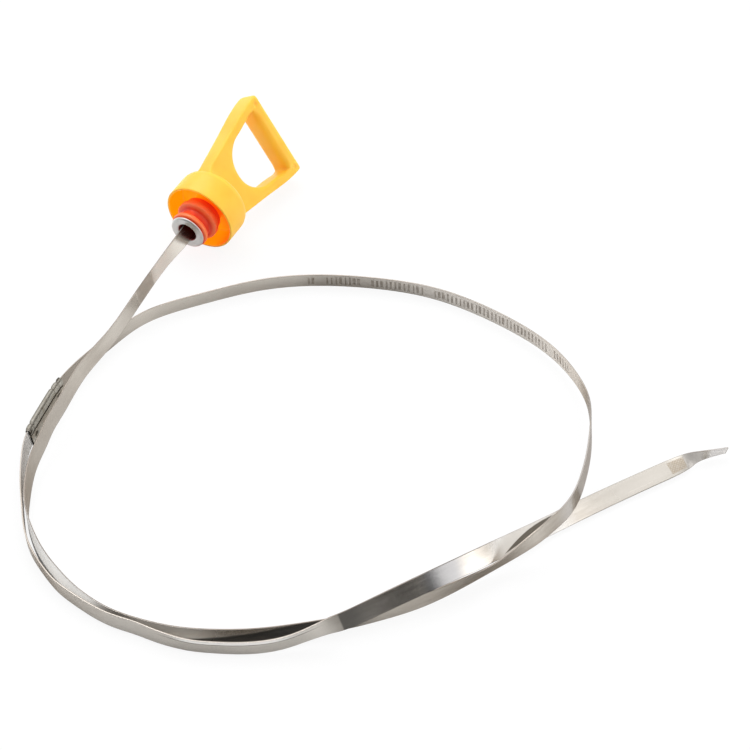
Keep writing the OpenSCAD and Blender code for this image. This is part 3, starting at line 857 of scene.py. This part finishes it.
# %% Table
def table_finish():
    """Paper for lamps, white for the camera, and for reflections a greyer sheet under a
    satin coat whose share grows as the ray comes in flatter, as any coat's does."""
    f = Finish("table_paper")
    f.set(Roughness=0.9, Specular_IOR_Level=0.1)
    path = f.add("ShaderNodeLightPath")
    shiny = path.outputs["Is Glossy Ray"]
    grain = f.noise(60.0, 3.0, 0.5)
    paper = f.mix(f.fit(grain, 0.3, 0.7), (0.90, 0.90, 0.90, 1), (0.885, 0.885, 0.885, 1))
    f.link(f.mix(shiny, paper, (0.60, 0.60, 0.60, 1)), "Base Color")
    coat = f.add("ShaderNodeBsdfGlossy", {"Color": (0.97, 0.97, 0.97, 1), "Roughness": 0.42})
    flat = f.add("ShaderNodeLayerWeight", {"Blend": 0.5}).outputs["Facing"]
    share = f.math("MULTIPLY", shiny, f.fit(flat, 0.05, 0.75, 0.05, 0.95, smooth=False))
    satin = f.add("ShaderNodeMixShader", {0: share, 1: f.shader.outputs[0], 2: coat.outputs[0]})
    white = f.add("ShaderNodeEmission", {"Color": (1, 1, 1, 1), "Strength": 1.0})
    blend = f.add("ShaderNodeMixShader", {0: f.math("MULTIPLY", path.outputs["Is Camera Ray"], 0.88),
                                          1: satin.outputs[0], 2: white.outputs[0]})
    out = f.tree.nodes["Material Output"]
    f.tree.links.new(blend.outputs[0], out.inputs["Surface"])
    return f.mat


def table():
    """A flat sheet 6 m across, 0.2 mm under the object."""
    x = np.linspace(-3, 3, 13)
    gx, gy = np.meshgrid(x, x, indexing="ij")
    points = np.stack([gx, gy, np.full_like(gx, -0.2 * MM)], -1)
    part = grid_part(points, x, x, wrap_cols=False, cap=False)
    build("table_sheet", [part], table_finish())


table()


# %% Lights
def softbox(name, where, size, power):
    """A square lamp that faces the object: its z axis points back along the way to the
    origin, its x axis is level, and its y axis is square to both."""
    lamp = bpy.data.lights.new(name, "AREA")
    lamp.shape, lamp.size, lamp.energy = "SQUARE", size, power
    obj = bpy.data.objects.new(name, lamp)
    obj.location = where
    z = np.array(where) / np.linalg.norm(where)
    x = np.cross([0, 0, 1.0], z)
    x /= np.linalg.norm(x)
    obj.rotation_euler = Matrix(np.stack([x, np.cross(z, x), z], 1).tolist()).to_euler()
    bpy.context.scene.collection.objects.link(obj)


softbox("key_softbox", (-0.9, 0.5, 1.5), 1.4, 13.0)
softbox("fill_softbox", (0.9, -0.2, 1.3), 1.2, 5.0)

# %% [markdown]
# The room is a sky whose brightness follows the direction of the ray, d. Its dot
# product with the way to the camera tells the camera's dim side from the far bright
# side; height adds the ceiling's soft light; and one round light panel stands to the
# right, where the tail reflects it. The camera itself sees plain white beyond the table.


# %% Room
TURN, RAISE, RANGE_M = math.radians(28.2), math.radians(43.0), 0.6


def toward(turn_deg, rise_deg):
    """Unit vector turn_deg to the camera's right of the way to the camera, rise_deg up."""
    a, e = TURN + math.radians(turn_deg), math.radians(rise_deg)
    return math.cos(e) * math.sin(a), -math.cos(e) * math.cos(a), math.sin(e)


NEAR_SIDE, PANEL = toward(0, 0), toward(71, 14)


def room():
    """Strength falls from 1.15 far from the camera to 0.30 near it, falls further to 12 % low
    on the near side, and gains 0.42 overhead and 2.6 in a round patch about PANEL."""
    f = Finish("studio", world=True)
    d = f.add("ShaderNodeTexCoord").outputs["Generated"]
    up = f.add("ShaderNodeSeparateXYZ", {"Vector": d}).outputs[2]
    near = f.vector("DOT_PRODUCT", d, NEAR_SIDE, "Value")
    panel = f.vector("DOT_PRODUCT", d, PANEL, "Value")
    walls = f.fit(near, -0.30, 0.62, 1.15, 0.30, smooth=False)
    dim = f.math("MULTIPLY", f.fit(near, 0.25, 0.60), f.fit(up, 0.55, 0.12))
    walls = f.math("MULTIPLY", walls, f.fit(dim, 0.0, 1.0, 1.0, 0.12, smooth=False))
    level = f.math("ADD", walls, f.math("MULTIPLY", f.fit(up, 0.76, 0.90), 0.42))
    level = f.math("ADD", level, f.math("MULTIPLY", f.fit(panel, 0.955, 0.985), 2.6))
    seen = f.add("ShaderNodeLightPath").outputs["Is Camera Ray"]
    f.link(f.fit(seen, 0.0, 1.0, level, 1.0, smooth=False), "Strength")
    bpy.context.scene.world = f.set(Color=(0.985, 0.99, 1.0, 1))


room()

# %% [markdown]
# The camera looks from the photograph's angle, 28.2 degrees round to the right and 43
# degrees up, through a long lens. The angles and the distance were fitted to the coil's
# outline and to the strip's own width, which is why they aren't round numbers.

# %% Camera
TARGET = np.array([-0.0085, 0.025, 0.0002])
look = np.array([-math.sin(TURN) * math.cos(RAISE), math.cos(TURN) * math.cos(RAISE), -math.sin(RAISE)])
camera = bpy.data.objects.new("camera", bpy.data.cameras.new("camera"))
camera.data.lens, camera.data.sensor_width = 80.0, 36.0
camera.data.clip_start = 0.01
camera.location = TARGET - RANGE_M * look
camera.rotation_euler = (math.pi / 2 - RAISE, 0.0, TURN)
bpy.context.scene.collection.objects.link(camera)
bpy.context.scene.camera = camera
bpy.context.scene.view_settings.view_transform = "Standard"
